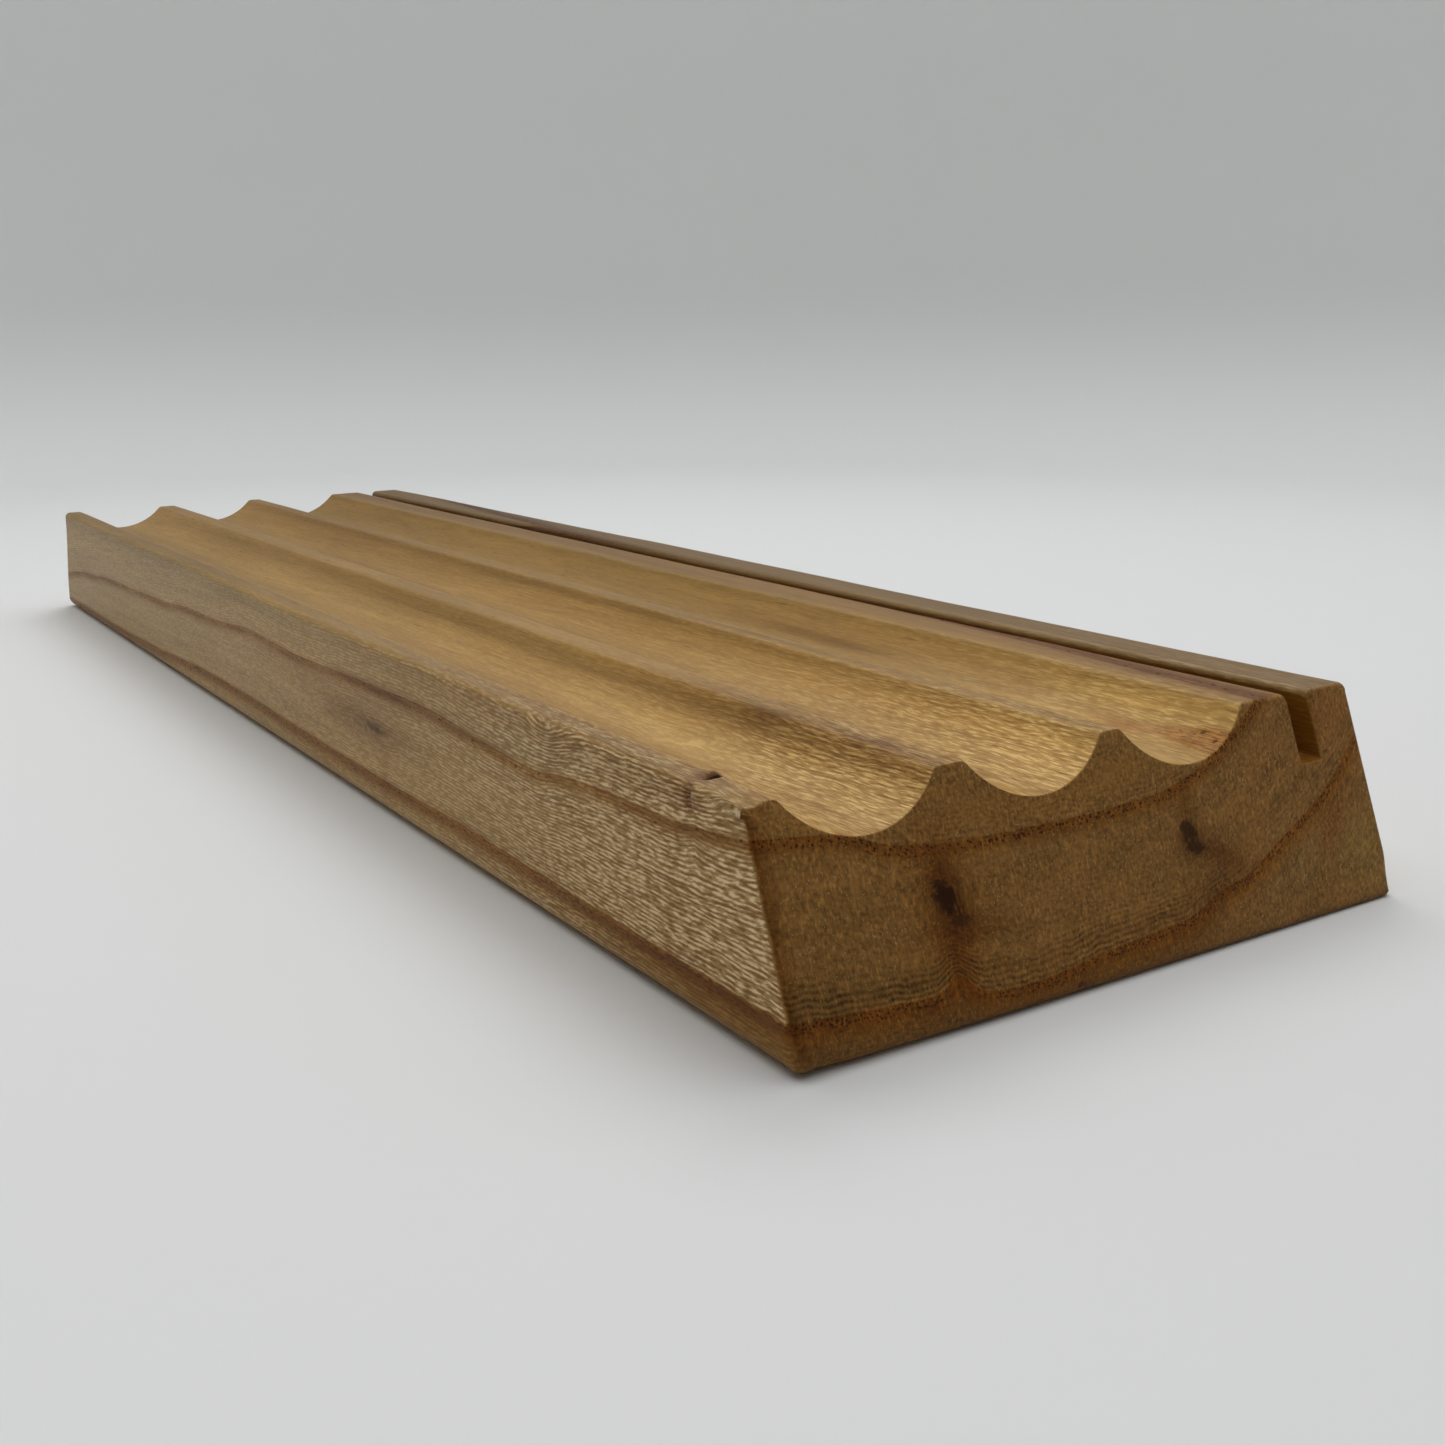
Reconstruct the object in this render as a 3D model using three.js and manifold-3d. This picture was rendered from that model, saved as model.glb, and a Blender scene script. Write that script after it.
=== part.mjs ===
// Grooved hardwood block, cut from one solid piece.
//
// A long flat block whose top carries three shallow round-bottomed coves, side
// by side along its whole length, and behind them one narrow saw kerf. Both
// ends lean inwards from the underside to the top, and every outer edge is
// eased. Nothing is glued, screwed or hinged to it, so it is a single solid.
//
// Frame, in millimetres: +X along the block, +Y from the front side to the
// kerf side, +Z up. The origin is the centre of the underside.

import * as THREE from "three";
import { mergeVertices } from "three/addons/utils/BufferGeometryUtils.js";
import Module from "manifold-3d";

// ---- driving dimensions ---------------------------------------------------
const LENGTH = 258.5; // along the underside, to where the end faces would meet it unrounded
const WIDTH = 70; // front side to kerf side
const THICKNESS = 19.65; // underside to the lands
const END_LEAN = 7.49; // how far the top edge of each end sits in from the bottom edge

const COVE_RADIUS = 9.525; // a 3/4 in round-nose cutter
const COVES = [
  // centre line measured from the front side, and the height of its lowest line
  { at: 10.7, floor: 15.8 },
  { at: 29.1, floor: 15.8 },
  { at: 46.95, floor: 15.55 },
];
const KERF_FROM = 61.15; // the kerf's two walls, measured from the front side
const KERF_TO = 64.0;
const KERF_FLOOR = 13.35; // height of the kerf's floor

const EASE_RIDGE = 0.45; // sanding on the edges between the coves and the lands
const EASE_KERF = 0.8; // on the two lips of the kerf
const ROUND_TOP = 0.9; // radius of the long outer edges at the top
const ROUND_BOTTOM = 1.5; // radius of the long outer edges at the underside
const ROUND_END_TOP = 0.6; // radius where the end faces meet the top
const ROUND_END_BOTTOM = 1.5; // radius where the end faces meet the underside
const ROUND_UPRIGHT = 1.0; // radius of the four upright edges

const COVE_STEPS = 22;
const EASE_STEPS = 4;
const ROUND_STEPS = 6;

// ---- outlines -------------------------------------------------------------
const v2 = (x, y) => new THREE.Vector2(x, y);

// The points of a rounded corner of the given radius at b, between a and c.
function corner(a, b, c, radius, steps) {
  const u = a.clone().sub(b).normalize();
  const w = c.clone().sub(b).normalize();
  const half = Math.acos(THREE.MathUtils.clamp(u.dot(w), -1, 1)) / 2;
  const reach = radius / Math.tan(half);
  const start = b.clone().addScaledVector(u, reach);
  const centre = b
    .clone()
    .addScaledVector(u.clone().add(w).normalize(), radius / Math.sin(half));
  const end = b.clone().addScaledVector(w, reach);
  const from = start.clone().sub(centre).angle();
  const to = end.clone().sub(centre).angle();
  let sweep = to - from;
  while (sweep > Math.PI) sweep -= 2 * Math.PI;
  while (sweep < -Math.PI) sweep += 2 * Math.PI;
  return new THREE.EllipseCurve(
    centre.x,
    centre.y,
    radius,
    radius,
    from,
    from + sweep,
    sweep < 0,
  ).getPoints(steps);
}

// A convex outline with a radius at each corner: corners are [x, y, radius].
function roundedOutline(corners) {
  const n = corners.length;
  const p = corners.map(([x, y]) => v2(x, y));
  return p.flatMap((b, i) =>
    corner(p[(i + n - 1) % n], b, p[(i + 1) % n], corners[i][2], ROUND_STEPS),
  );
}

// A soft edge: leaves one side at a, turns at the sharp edge b, joins the other at c.
const eased = (a, b, c) =>
  new THREE.QuadraticBezierCurve(a, b, c).getPoints(EASE_STEPS);

// The block's cross-section, anticlockwise in (Y from the front side, Z).
function sectionOutline() {
  const points = [];
  const bottomFront = v2(0, 0);
  const bottomBack = v2(WIDTH, 0);
  const topBack = v2(WIDTH, THICKNESS);
  const topFront = v2(0, THICKNESS);

  points.push(...corner(topFront, bottomFront, bottomBack, ROUND_BOTTOM, ROUND_STEPS));
  points.push(...corner(bottomFront, bottomBack, topBack, ROUND_BOTTOM, ROUND_STEPS));
  points.push(...corner(bottomBack, topBack, topFront, ROUND_TOP, ROUND_STEPS));

  // The kerf, entered from the rear land.
  points.push(
    ...eased(
      v2(KERF_TO + EASE_KERF, THICKNESS),
      v2(KERF_TO, THICKNESS),
      v2(KERF_TO, THICKNESS - EASE_KERF),
    ),
  );
  points.push(v2(KERF_TO, KERF_FLOOR), v2(KERF_FROM, KERF_FLOOR));
  points.push(
    ...eased(
      v2(KERF_FROM, THICKNESS - EASE_KERF),
      v2(KERF_FROM, THICKNESS),
      v2(KERF_FROM - EASE_KERF, THICKNESS),
    ),
  );

  // The coves, from the back one to the front one.
  for (const { at, floor } of [...COVES].reverse()) {
    const centreZ = floor + COVE_RADIUS;
    const halfChord = Math.sqrt(
      COVE_RADIUS ** 2 - (centreZ - THICKNESS) ** 2,
    );
    const edge = Math.atan2(THICKNESS - centreZ, halfChord); // angle of the back edge
    const trim = EASE_RIDGE / COVE_RADIUS;
    const arc = new THREE.EllipseCurve(
      at,
      centreZ,
      COVE_RADIUS,
      COVE_RADIUS,
      edge - trim,
      -Math.PI - edge + trim,
      true,
    ).getPoints(COVE_STEPS);
    points.push(
      ...eased(
        v2(at + halfChord + EASE_RIDGE, THICKNESS),
        v2(at + halfChord, THICKNESS),
        arc[0],
      ).slice(0, -1),
    );
    points.push(...arc);
    points.push(
      ...eased(
        arc[arc.length - 1],
        v2(at - halfChord, THICKNESS),
        v2(at - halfChord - EASE_RIDGE, THICKNESS),
      ).slice(1),
    );
  }

  points.push(...corner(topBack, topFront, bottomFront, ROUND_TOP, ROUND_STEPS));
  return points.map((p) => v2(p.x - WIDTH / 2, p.y));
}

// The block seen from the front, in (X, Z), with its two leaning ends.
const half = LENGTH / 2;
const sideOutline = roundedOutline([
  [-half, 0, ROUND_END_BOTTOM],
  [half, 0, ROUND_END_BOTTOM],
  [half - END_LEAN, THICKNESS, ROUND_END_TOP],
  [-half + END_LEAN, THICKNESS, ROUND_END_TOP],
]);

// The block seen from above, in (X, Y), at the height of the underside.
const planOutline = roundedOutline([
  [-half, -WIDTH / 2, ROUND_UPRIGHT],
  [half, -WIDTH / 2, ROUND_UPRIGHT],
  [half, WIDTH / 2, ROUND_UPRIGHT],
  [-half, WIDTH / 2, ROUND_UPRIGHT],
]);

// ---- solids ---------------------------------------------------------------
const prism = (outline, depth) =>
  new THREE.ExtrudeGeometry(new THREE.Shape(outline), {
    depth,
    bevelEnabled: false,
    steps: 1,
  });

const axes = (x, y, z) => new THREE.Matrix4().makeBasis(x, y, z);
const X = new THREE.Vector3(1, 0, 0);
const Y = new THREE.Vector3(0, 1, 0);
const Z = new THREE.Vector3(0, 0, 1);

// The cross-section run along X, past both ends.
const bar = prism(sectionOutline(), LENGTH + 10)
  .translate(0, 0, -LENGTH / 2 - 5)
  .applyMatrix4(axes(Y, Z, X));

// The front view run along Y, past both sides.
const flank = prism(sideOutline, WIDTH + 10)
  .translate(0, 0, -WIDTH / 2 - 5)
  .applyMatrix4(axes(X, Z, Y.clone().negate()));

// The plan run along Z, past the top and the underside, with its ends leaning in.
const PAST = 3;
const plan = prism(planOutline, THICKNESS + 2 * PAST).translate(0, 0, -PAST);
const at = plan.getAttribute("position");
for (let i = 0; i < at.count; i++)
  at.setX(
    i,
    at.getX(i) - (Math.sign(at.getX(i)) * at.getZ(i) * END_LEAN) / THICKNESS,
  );

const wasm = await Module();
wasm.setup();

function toSolid(geometry) {
  geometry.deleteAttribute("normal");
  geometry.deleteAttribute("uv");
  const merged = mergeVertices(geometry, 1e-4);
  return new wasm.Manifold(
    new wasm.Mesh({
      numProp: 3,
      vertProperties: new Float32Array(merged.getAttribute("position").array),
      triVerts: new Uint32Array(merged.index.array),
    }),
  );
}

function toGeometry(solid) {
  const mesh = solid.getMesh();
  const position = new Float32Array(mesh.numVert * 3);
  for (let i = 0; i < mesh.numVert; i++)
    for (let k = 0; k < 3; k++)
      position[3 * i + k] = mesh.vertProperties[i * mesh.numProp + k];
  const geometry = new THREE.BufferGeometry();
  geometry.setAttribute("position", new THREE.BufferAttribute(position, 3));
  geometry.setIndex(new THREE.BufferAttribute(new Uint32Array(mesh.triVerts), 1));
  geometry.computeVertexNormals();
  return geometry;
}

const blockSolid = toSolid(bar).intersect(toSolid(flank)).intersect(toSolid(plan));

// ---- scene graph ----------------------------------------------------------
const oiledWood = new THREE.MeshStandardMaterial({
  color: 0xa77d48,
  roughness: 0.5,
  metalness: 0,
});

const block = new THREE.Mesh(toGeometry(blockSolid), oiledWood);
block.name = "grooved_block";

const part = new THREE.Group();
part.name = "grooved_block_part";
part.add(block);

export default part;
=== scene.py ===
import bpy
import math
import numpy as np
from mathutils import Matrix, Vector
from mathutils.geometry import delaunay_2d_cdt


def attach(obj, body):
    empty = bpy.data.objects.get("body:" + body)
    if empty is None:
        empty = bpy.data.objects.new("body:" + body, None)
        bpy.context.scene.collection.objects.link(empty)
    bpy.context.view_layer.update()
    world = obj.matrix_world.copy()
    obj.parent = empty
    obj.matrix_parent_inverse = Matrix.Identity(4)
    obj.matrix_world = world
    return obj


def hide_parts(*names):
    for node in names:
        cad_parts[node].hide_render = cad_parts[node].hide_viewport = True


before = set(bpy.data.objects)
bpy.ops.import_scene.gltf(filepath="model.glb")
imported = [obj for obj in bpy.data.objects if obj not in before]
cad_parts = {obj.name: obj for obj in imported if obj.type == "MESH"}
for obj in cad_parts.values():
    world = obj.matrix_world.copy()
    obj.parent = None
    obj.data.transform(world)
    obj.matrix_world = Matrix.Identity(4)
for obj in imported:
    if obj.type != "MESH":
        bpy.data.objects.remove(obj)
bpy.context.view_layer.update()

# ---------------------------------------------------------------------------
# The block, in millimetres. u runs along it from the far bottom edge (0) to the
# near one (258), y from the front side (0) to the kerf side (70), z up, with the
# underside at z = UNDER. The row frame's origin is at u = 129, y = 35, z = UNDER.
# ---------------------------------------------------------------------------
L, W, T = 258.0, 70.0, 19.0
UNDER = -0.65
LEAN = 7.24
BETA = math.atan2(LEAN, T)
COVE_R = 9.525
COVES = [(10.7, 15.15), (29.1, 15.15), (46.95, 14.9)]
KERF = (61.15, 64.0, 12.7)
R_BOTTOM, R_TOP, R_EASE, R_LIP = 1.3, 0.9, 0.9, 0.8
R_FRONT = 2.1  # the front bottom edge is worn rounder


def profile():
    """Closed cross-section, anticlockwise in (y, z): points, outward normals, end rounding and strip number."""
    pts, nrm, rho, strip = [], [], [], []

    def put(y, z, ny, nz, r, s):
        if pts and math.hypot(pts[-1][0] - y, pts[-1][1] - z) < 1e-6:
            return
        pts.append((y, z)), nrm.append((ny, nz)), rho.append(r), strip.append(s)

    def line(a, b, step, n, r, s):
        k = max(1, round(math.dist(a, b) / step))
        for i in range(k + 1):
            f = i / k
            rr = r(f) if callable(r) else r
            put(a[0] + (b[0] - a[0]) * f, a[1] + (b[1] - a[1]) * f, n[0], n[1], rr, s)

    def arc(c, rad, a0, a1, k, r, s, inward=False):
        for i in range(k + 1):
            f = i / k
            a = a0 + (a1 - a0) * f
            q = -1.0 if inward else 1.0
            rr = r(f) if callable(r) else r
            put(c[0] + rad * math.cos(a), c[1] + rad * math.sin(a), q * math.cos(a), q * math.sin(a), rr, s)

    mix = lambda a, b: (lambda f: a + (b - a) * f)
    pi = math.pi
    # underside, back side
    line((R_FRONT, UNDER), (6.0, UNDER), 0.6, (0, -1), mix(1.9, 1.6), 0)
    line((6.0, UNDER), (20.0, UNDER), 1.6, (0, -1), mix(1.6, 1.2), 0)
    line((20.0, UNDER), (W - 3.0, UNDER), 2.4, (0, -1), mix(1.2, 0.6), 0)
    line((W - 3.0, UNDER), (W - R_BOTTOM, UNDER), 0.6, (0, -1), 0.6, 0)
    arc((W - R_BOTTOM, UNDER + R_BOTTOM), R_BOTTOM, -pi / 2, 0, 8, mix(0.6, 0.7), 1)
    line((W, UNDER + R_BOTTOM), (W, 4.0), 0.6, (1, 0), 0.7, 1)
    line((W, 4.0), (W, T - R_TOP), 1.25, (1, 0), 0.7, 1)
    arc((W - R_TOP, T - R_TOP), R_TOP, 0, pi / 2, 6, mix(0.7, 0.7), 2)
    # rear land and kerf
    k0, k1, kf = KERF
    line((W - R_TOP, T), (k1 + R_LIP, T), 0.8, (0, 1), 0.6, 2)
    arc((k1 + R_LIP, T - R_LIP), R_LIP, pi / 2, pi, 5, 0.5, 2)
    line((k1, T - R_LIP), (k1, kf + 0.2), 0.85, (-1, 0), 0.35, 2)
    arc((k1 - 0.2, kf + 0.2), 0.2, 0, -pi / 2, 2, 0.3, 2, True)
    line((k1 - 0.2, kf), (k0 + 0.2, kf), 0.7, (0, 1), 0.3, 2)
    arc((k0 + 0.2, kf + 0.2), 0.2, -pi / 2, -pi, 2, 0.3, 2, True)
    line((k0, kf + 0.2), (k0, T - R_LIP), 0.85, (1, 0), 0.35, 2)
    arc((k0 - R_LIP, T - R_LIP), R_LIP, 0, pi / 2, 5, 0.6, 2)
    at = (k0 - R_LIP, T)
    # coves and the lands between them, from the back to the front
    for i, (c, floor) in enumerate(reversed(COVES)):
        zc = floor + COVE_R
        h = zc - (T - R_EASE)
        dx = math.sqrt((COVE_R + R_EASE) ** 2 - h * h)
        turn = math.atan2(dx, h)
        land_r = 0.8 if i == 0 else 0.3
        line(at, (c + dx, T), 0.55, (0, 1), land_r, 2)
        arc((c + dx, T - R_EASE), R_EASE, pi / 2, pi / 2 + turn, 5, 0.45 if i == 0 else 0.26, 2)
        arc((c, zc), COVE_R, -pi / 2 + turn, -pi / 2 - turn, 38, 0.24, 2, True)
        arc((c - dx, T - R_EASE), R_EASE, pi / 2 - turn, pi / 2, 5, 0.26, 2)
        at = (c - dx, T)
    line(at, (R_TOP, T), 0.3, (0, 1), 0.3, 2)
    arc((R_TOP, T - R_TOP), R_TOP, pi / 2, pi, 7, mix(0.25, 0.32), 2)
    # front side
    line((0, T - R_TOP), (0, T - 4.0), 0.45, (-1, 0), mix(0.32, 0.6), 3)
    line((0, T - 4.0), (0, 4.0), 1.1, (-1, 0), mix(0.6, 0.55), 3)
    line((0, 4.0), (0, UNDER + R_FRONT), 0.6, (-1, 0), mix(0.55, 1.2), 3)
    arc((R_FRONT, UNDER + R_FRONT), R_FRONT, pi, 1.5 * pi, 10, mix(1.2, 1.9), 3)
    pts.pop(), nrm.pop(), rho.pop(), strip.pop()  # the last point is the first again
    return np.array(pts), np.array(nrm), np.array(rho), np.array(strip)


def stations():
    """Fractions along the body, closer together where the wood has small features."""
    spans = [(8.0, 10.0, 0.4), (10.0, 200.0, 1.45), (200.0, 212.0, 1.0), (212.0, 227.0, 0.6), (227.0, 240.5, 1.0), (240.5, 251.0, 0.32)]
    out = [0.0]
    lo, hi = 8.0, 251.0
    for a, b, step in spans:
        k = max(1, round((b - a) / step))
        out += [((a + (b - a) * (i + 1) / k) - lo) / (hi - lo) for i in range(k)]
    return np.array(out)


def wobble(p, seed, scale, n=14):
    """Smooth seeded noise about -1..1 of points p with the given feature sizes along each axis."""
    rng = np.random.default_rng(seed)
    out = np.zeros(len(p))
    for _ in range(n):
        d = rng.normal(size=3)
        d *= rng.uniform(0.55, 1.6) / np.linalg.norm(d)
        out += np.sin((p / np.asarray(scale, float)) @ d * 2.2 + rng.uniform(0, 2 * math.pi))
    return out / math.sqrt(n / 2) * 0.6


def smooth(a, b, v):
    t = np.clip((v - a) / (b - a), 0, 1)
    return t * t * (3 - 2 * t)


def blob(v, c, s):
    return np.exp(-0.5 * (((v - c) / s) ** 2))


def curve(xs, ys, v):
    """Monotone cubic through (xs, ys), straight past its ends."""
    xs, ys = np.asarray(xs, float), np.asarray(ys, float)
    h = np.diff(xs)
    d = np.diff(ys) / h
    m = np.empty(len(xs))
    m[0], m[-1] = d[0], d[-1]
    same = d[:-1] * d[1:] > 0
    w1, w2 = 2 * h[1:] + h[:-1], h[1:] + 2 * h[:-1]
    with np.errstate(divide="ignore", invalid="ignore"):
        m[1:-1] = np.where(same, (w1 + w2) / (w1 / d[:-1] + w2 / d[1:]), 0.0)
    i = np.clip(np.searchsorted(xs, v) - 1, 0, len(xs) - 2)
    t = (v - xs[i]) / h[i]
    inside = (
        (2 * t**3 - 3 * t**2 + 1) * ys[i]
        + (t**3 - 2 * t**2 + t) * h[i] * m[i]
        + (-2 * t**3 + 3 * t**2) * ys[i + 1]
        + (t**3 - t**2) * h[i] * m[i + 1]
    )
    low, high = ys[0] + (v - xs[0]) * m[0], ys[-1] + (v - xs[-1]) * m[-1]
    return np.where(v < xs[0], low, np.where(v > xs[-1], high, inside))


# ---- surface mesh ---------------------------------------------------------
PY, N2, RHO, STRIP = profile()
J = len(PY)
STEPS = 5  # rings across each end's rounded edge


def end_rings(side):
    """The rounded edge of one end: rings from the body to the end face, and the end plane's normal."""
    m = np.array([side * math.cos(BETA), 0.0, math.sin(BETA)])
    xe = (L / 2 - LEAN * PY[:, 1] / T) * side
    p0 = np.column_stack([xe, PY[:, 0], PY[:, 1]])
    n = np.column_stack([np.zeros(J), N2[:, 0], N2[:, 1]])
    nm = n @ m
    c = p0 - RHO[:, None] * (n + m) / (1 + nm)[:, None]
    ang = np.arccos(np.clip(nm, -1, 1))
    rings = []
    for k in range(STEPS + 1):
        f = k / STEPS
        w = (np.sin((1 - f) * ang)[:, None] * n + np.sin(f * ang)[:, None] * m) / np.sin(ang)[:, None]
        rings.append((c + RHO[:, None] * w, w))
    return rings, m


near, m_near = end_rings(1)
far, m_far = end_rings(-1)
FR = stations()
ring_pos, ring_nrm = [], []
for pos, nor in far[::-1][:-1]:
    ring_pos.append(pos), ring_nrm.append(nor)
a, b = far[0][0], near[0][0]
nb = np.column_stack([np.zeros(J), N2[:, 0], N2[:, 1]])
for i, f in enumerate(FR):
    x = a[:, 0] + (b[:, 0] - a[:, 0]) * f
    p = np.column_stack([x, PY[:, 0], PY[:, 1]])
    if i == 0:
        p = a.copy()
    if i == len(FR) - 1:
        p = b.copy()
    ring_pos.append(p), ring_nrm.append(nb)
for pos, nor in near[1:]:
    ring_pos.append(pos), ring_nrm.append(nor)
R = len(ring_pos)
V = np.concatenate(ring_pos)
NV = np.concatenate(ring_nrm)
V[:, 0] += L / 2

i, j = np.meshgrid(np.arange(R - 1), np.arange(J), indexing="ij")
i, j = i.ravel(), j.ravel()
jn = (j + 1) % J
quads = np.column_stack([i * J + j, (i + 1) * J + j, (i + 1) * J + jn, i * J + jn])
quads = quads[:, ::-1]  # facing out
quad_ij = np.column_stack([i, j])


def cap(ring):
    """Triangles over one flat end, with points inside it so that the figure can be carried on them."""
    loop = ring[:, 1:]
    gy = np.arange(0.9, W - 0.5, 0.95)
    gz = np.arange(UNDER + 1.0, T - 0.3, 0.85)
    g = np.array([(y + (0.47 if k % 2 else 0.0), z) for k, z in enumerate(gz) for y in gy])
    nxt = np.roll(loop, -1, axis=0)
    inside = np.zeros(len(g), bool)
    dist = np.full(len(g), 1e9)
    for p, q in zip(loop, nxt):
        d = q - p
        t = np.clip(((g - p) @ d) / max(d @ d, 1e-12), 0, 1)
        dist = np.minimum(dist, np.hypot(*(g - p - t[:, None] * d).T))
        cross = (p[1] > g[:, 1]) != (q[1] > g[:, 1])
        with np.errstate(divide="ignore", invalid="ignore"):
            xc = (q[0] - p[0]) * (g[:, 1] - p[1]) / (q[1] - p[1]) + p[0]
        inside ^= cross & (g[:, 0] < xc)
    g = g[inside & (dist > 0.45)]
    verts = [Vector(p) for p in np.concatenate([loop, g])]
    edges = [(k, (k + 1) % len(loop)) for k in range(len(loop))]
    _, _, fs, orig, _, _ = delaunay_2d_cdt(verts, edges, [], 1, 1e-6)
    return fs, orig, g


faces_tri = []
tri_end = []
extra_pos, extra_nrm = [], []


def add_cap(ring_index, m, flip):
    fs, orig, g = cap(V[ring_index * J : (ring_index + 1) * J])
    start = R * J + len(extra_pos)
    for y, z in g:
        x = (L - LEAN * z / T) if m[0] > 0 else (LEAN * z / T)
        extra_pos.append((x, y, z))
        extra_nrm.append(m)
    lookup = []
    for o in orig:
        k = o[0]
        lookup.append(ring_index * J + k if k < J else start + (k - J))
    for f in fs:
        t = [lookup[k] for k in f]
        faces_tri.append(t[::-1] if flip else t)
        tri_end.append(0 if flip else 1)


add_cap(R - 1, m_near, False)
add_cap(0, m_far, True)
V = np.concatenate([V, np.array(extra_pos)])
NV = np.concatenate([NV, np.array(extra_nrm)])
P0 = V.copy()  # places before the hand-sanded unevenness, used for the wood's figure

# ---------------------------------------------------------------------------
# The wood's figure. Two growth lines run through the block; their heights are
# curves along it and across it, and every fine mark follows them.
# ---------------------------------------------------------------------------
E1 = ([-0.1, 7.6, 12.8, 19.5, 24.3, 29.4, 33.8, 38.5, 41.4, 44.5, 46.7, 49, 50.6, 53, 56.9, 62, 70],
      [16.35, 15.5, 13.85, 13.1, 12.95, 12.9, 12.85, 13.0, 13.1, 13.65, 14.2, 15.1, 15.9, 17, 19.1, 22, 27.5])
E2 = ([-0.1, 3.4, 7.3, 11.5, 13.6, 16.1, 17.5, 19.1, 20.9, 24.6, 27.7, 31.5, 36.3, 41.1, 43.9, 45.8, 50.6, 55.4, 60.2, 65, 67.4, 69.8],
      [3.85, 3.6, 3.25, 2.95, 2.8, 3.4, 2.55, 2.0, 1.8, 1.7, 1.95, 2.3, 2.55, 2.8, 3.3, 4.1, 5.0, 6.9, 8.8, 11.2, 12.9, 14.8])
F1 = ([8, 14.7, 31.3, 48, 64.7, 81.3, 98, 114.7, 130, 146.7, 160, 178.75, 191, 203.75, 216, 222.5, 228.75, 241, 250.6],
      [7.25, 8.1, 9.3, 10.2, 10.6, 11.2, 12.25, 12.7, 13.7, 13.4, 13.8, 14.45, 14.75, 14.1, 13.8, 14.6, 15.0, 15.35, 16.4])
TREND = ([8, 64, 130, 190, 252], [7.3, 10.5, 13.4, 14.3, 16.3])
F2 = ([25, 48, 73, 90, 106, 130, 146, 175, 200, 213, 240, 253], [1.0, 1.2, 1.8, 2.5, 3.1, 3.3, 3.0, 3.0, 3.4, 3.25, 3.2, 3.2])


def height1(x, y):
    trend = curve(*TREND, x)
    wiggle = curve(*F1, x) - trend
    return curve(*E1, y) + trend - 16.35 + wiggle * np.exp(-np.maximum(y, 0) / 15.0)


def height2(x, y):
    knot = 0.55 * np.exp(-(((y - 16.5) / 1.2) ** 2)) * smooth(225.0, 245.0, x)
    return curve(*E2, y) + curve(*F2, x) - 3.3 + knot


def figure_at(p):
    """Distances to the two lines (mm, above is positive) and a ring coordinate that runs evenly between them."""
    x, y, z = p.T
    a1, a2 = height1(x, y), height2(x, y)
    k1 = 1 / np.sqrt(1 + (height1(x, y + 0.6) - height1(x, y - 0.6)) ** 2 / 1.44 + (height1(x + 2, y) - height1(x - 2, y)) ** 2 / 16)
    k2 = 1 / np.sqrt(1 + (height2(x, y + 0.6) - height2(x, y - 0.6)) ** 2 / 1.44)
    d1, d2 = (z - a1) * k1, (z - a2) * k2
    t = (z - a2) / np.maximum(a1 - a2, 1.0)
    ring = np.where(t > 1, 11 + d1, np.where(t < 0, d2, 11 * t))
    # the fibres dip and cusp beside the bark pocket and the curl on the front edge
    near_front = np.exp(-np.maximum(y, 0) / 3.0)
    ring = ring - 0.55 * np.exp(-np.abs(x - 244.0) / 1.3) * np.exp(-(((z - 13.6) / 2.2) ** 2)) * near_front
    ring = ring + 0.8 * np.exp(-(((x - 219.5) / 3.2) ** 2)) * smooth(13.5, 18.5, z) * near_front
    # and swerve round the two knots of the end face and the one on the front
    for cy, cz in ((16.7, 9.1), (44.4, 9.4)):
        w = np.exp(-(((y - cy) / 2.6) ** 2) - ((z - cz) / 2.6) ** 2) * smooth(236.0, 246.0, x)
        ring = ring - 1.2 * w * np.tanh((z - cz) / 1.2)
    w = np.exp(-(((x - 175.0) / 9.0) ** 2) - ((z - 9.1) / 2.2) ** 2) * near_front
    ring = ring - 1.0 * w * np.tanh((z - 9.1) / 1.0)
    return d1, d2, ring


def spot(x, y, cx, cy, sx, sy, tilt=0.0):
    """Soft round-ended spot, 1 at its middle."""
    ct, st = math.cos(tilt), math.sin(tilt)
    u, v = (x - cx) * ct + (y - cy) * st, -(x - cx) * st + (y - cy) * ct
    return np.exp(-((u / sx) ** 2) - (v / sy) ** 2)


def ramp(v, xs, ys):
    return np.interp(v, xs, ys)


SIDE = np.clip(-NV[:, 1], 0, 1)  # faces the front
BACK = np.clip(NV[:, 1], 0, 1)
END = smooth(0.25, 0.85, np.abs(NV[:, 0]))
x, y, z = P0.T
d1, d2, ring = figure_at(P0)
in_top = smooth(14.9, 15.1, z) * smooth(0.12, 0.4, NV[:, 2]) * (1 - END)
FRONT = smooth(0.55, 0.85, SIDE) * (1 - END) * (1 - smooth(1.5, 3.0, y))


def lay(base, colour, w):
    return base + (np.asarray(colour) - base) * np.clip(w, 0, 1)[:, None]


# base reflectance of each cut of the wood, linear
LONG = np.array([0.46, 0.275, 0.090])
FACE = np.array([0.437, 0.270, 0.099])
GRAIN_END = np.array([0.232, 0.112, 0.028])
tone = np.tile(LONG, (len(P0), 1))
tone = lay(tone, FACE, FRONT * (1 - 0.55 * smooth(16.6, 18.7, z)))
tone = lay(tone, LONG * 0.86, smooth(0.6, 0.9, BACK) * (1 - END) * smooth(69.0, 69.8, y))
tone = lay(tone, GRAIN_END, END)


def times(w, r, g, b):
    """Multiply the tone where w is 1."""
    global tone
    w = np.clip(w, 0, 1)[:, None]
    tone = tone * (1 - w + w * np.array([r, g, b]))


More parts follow.
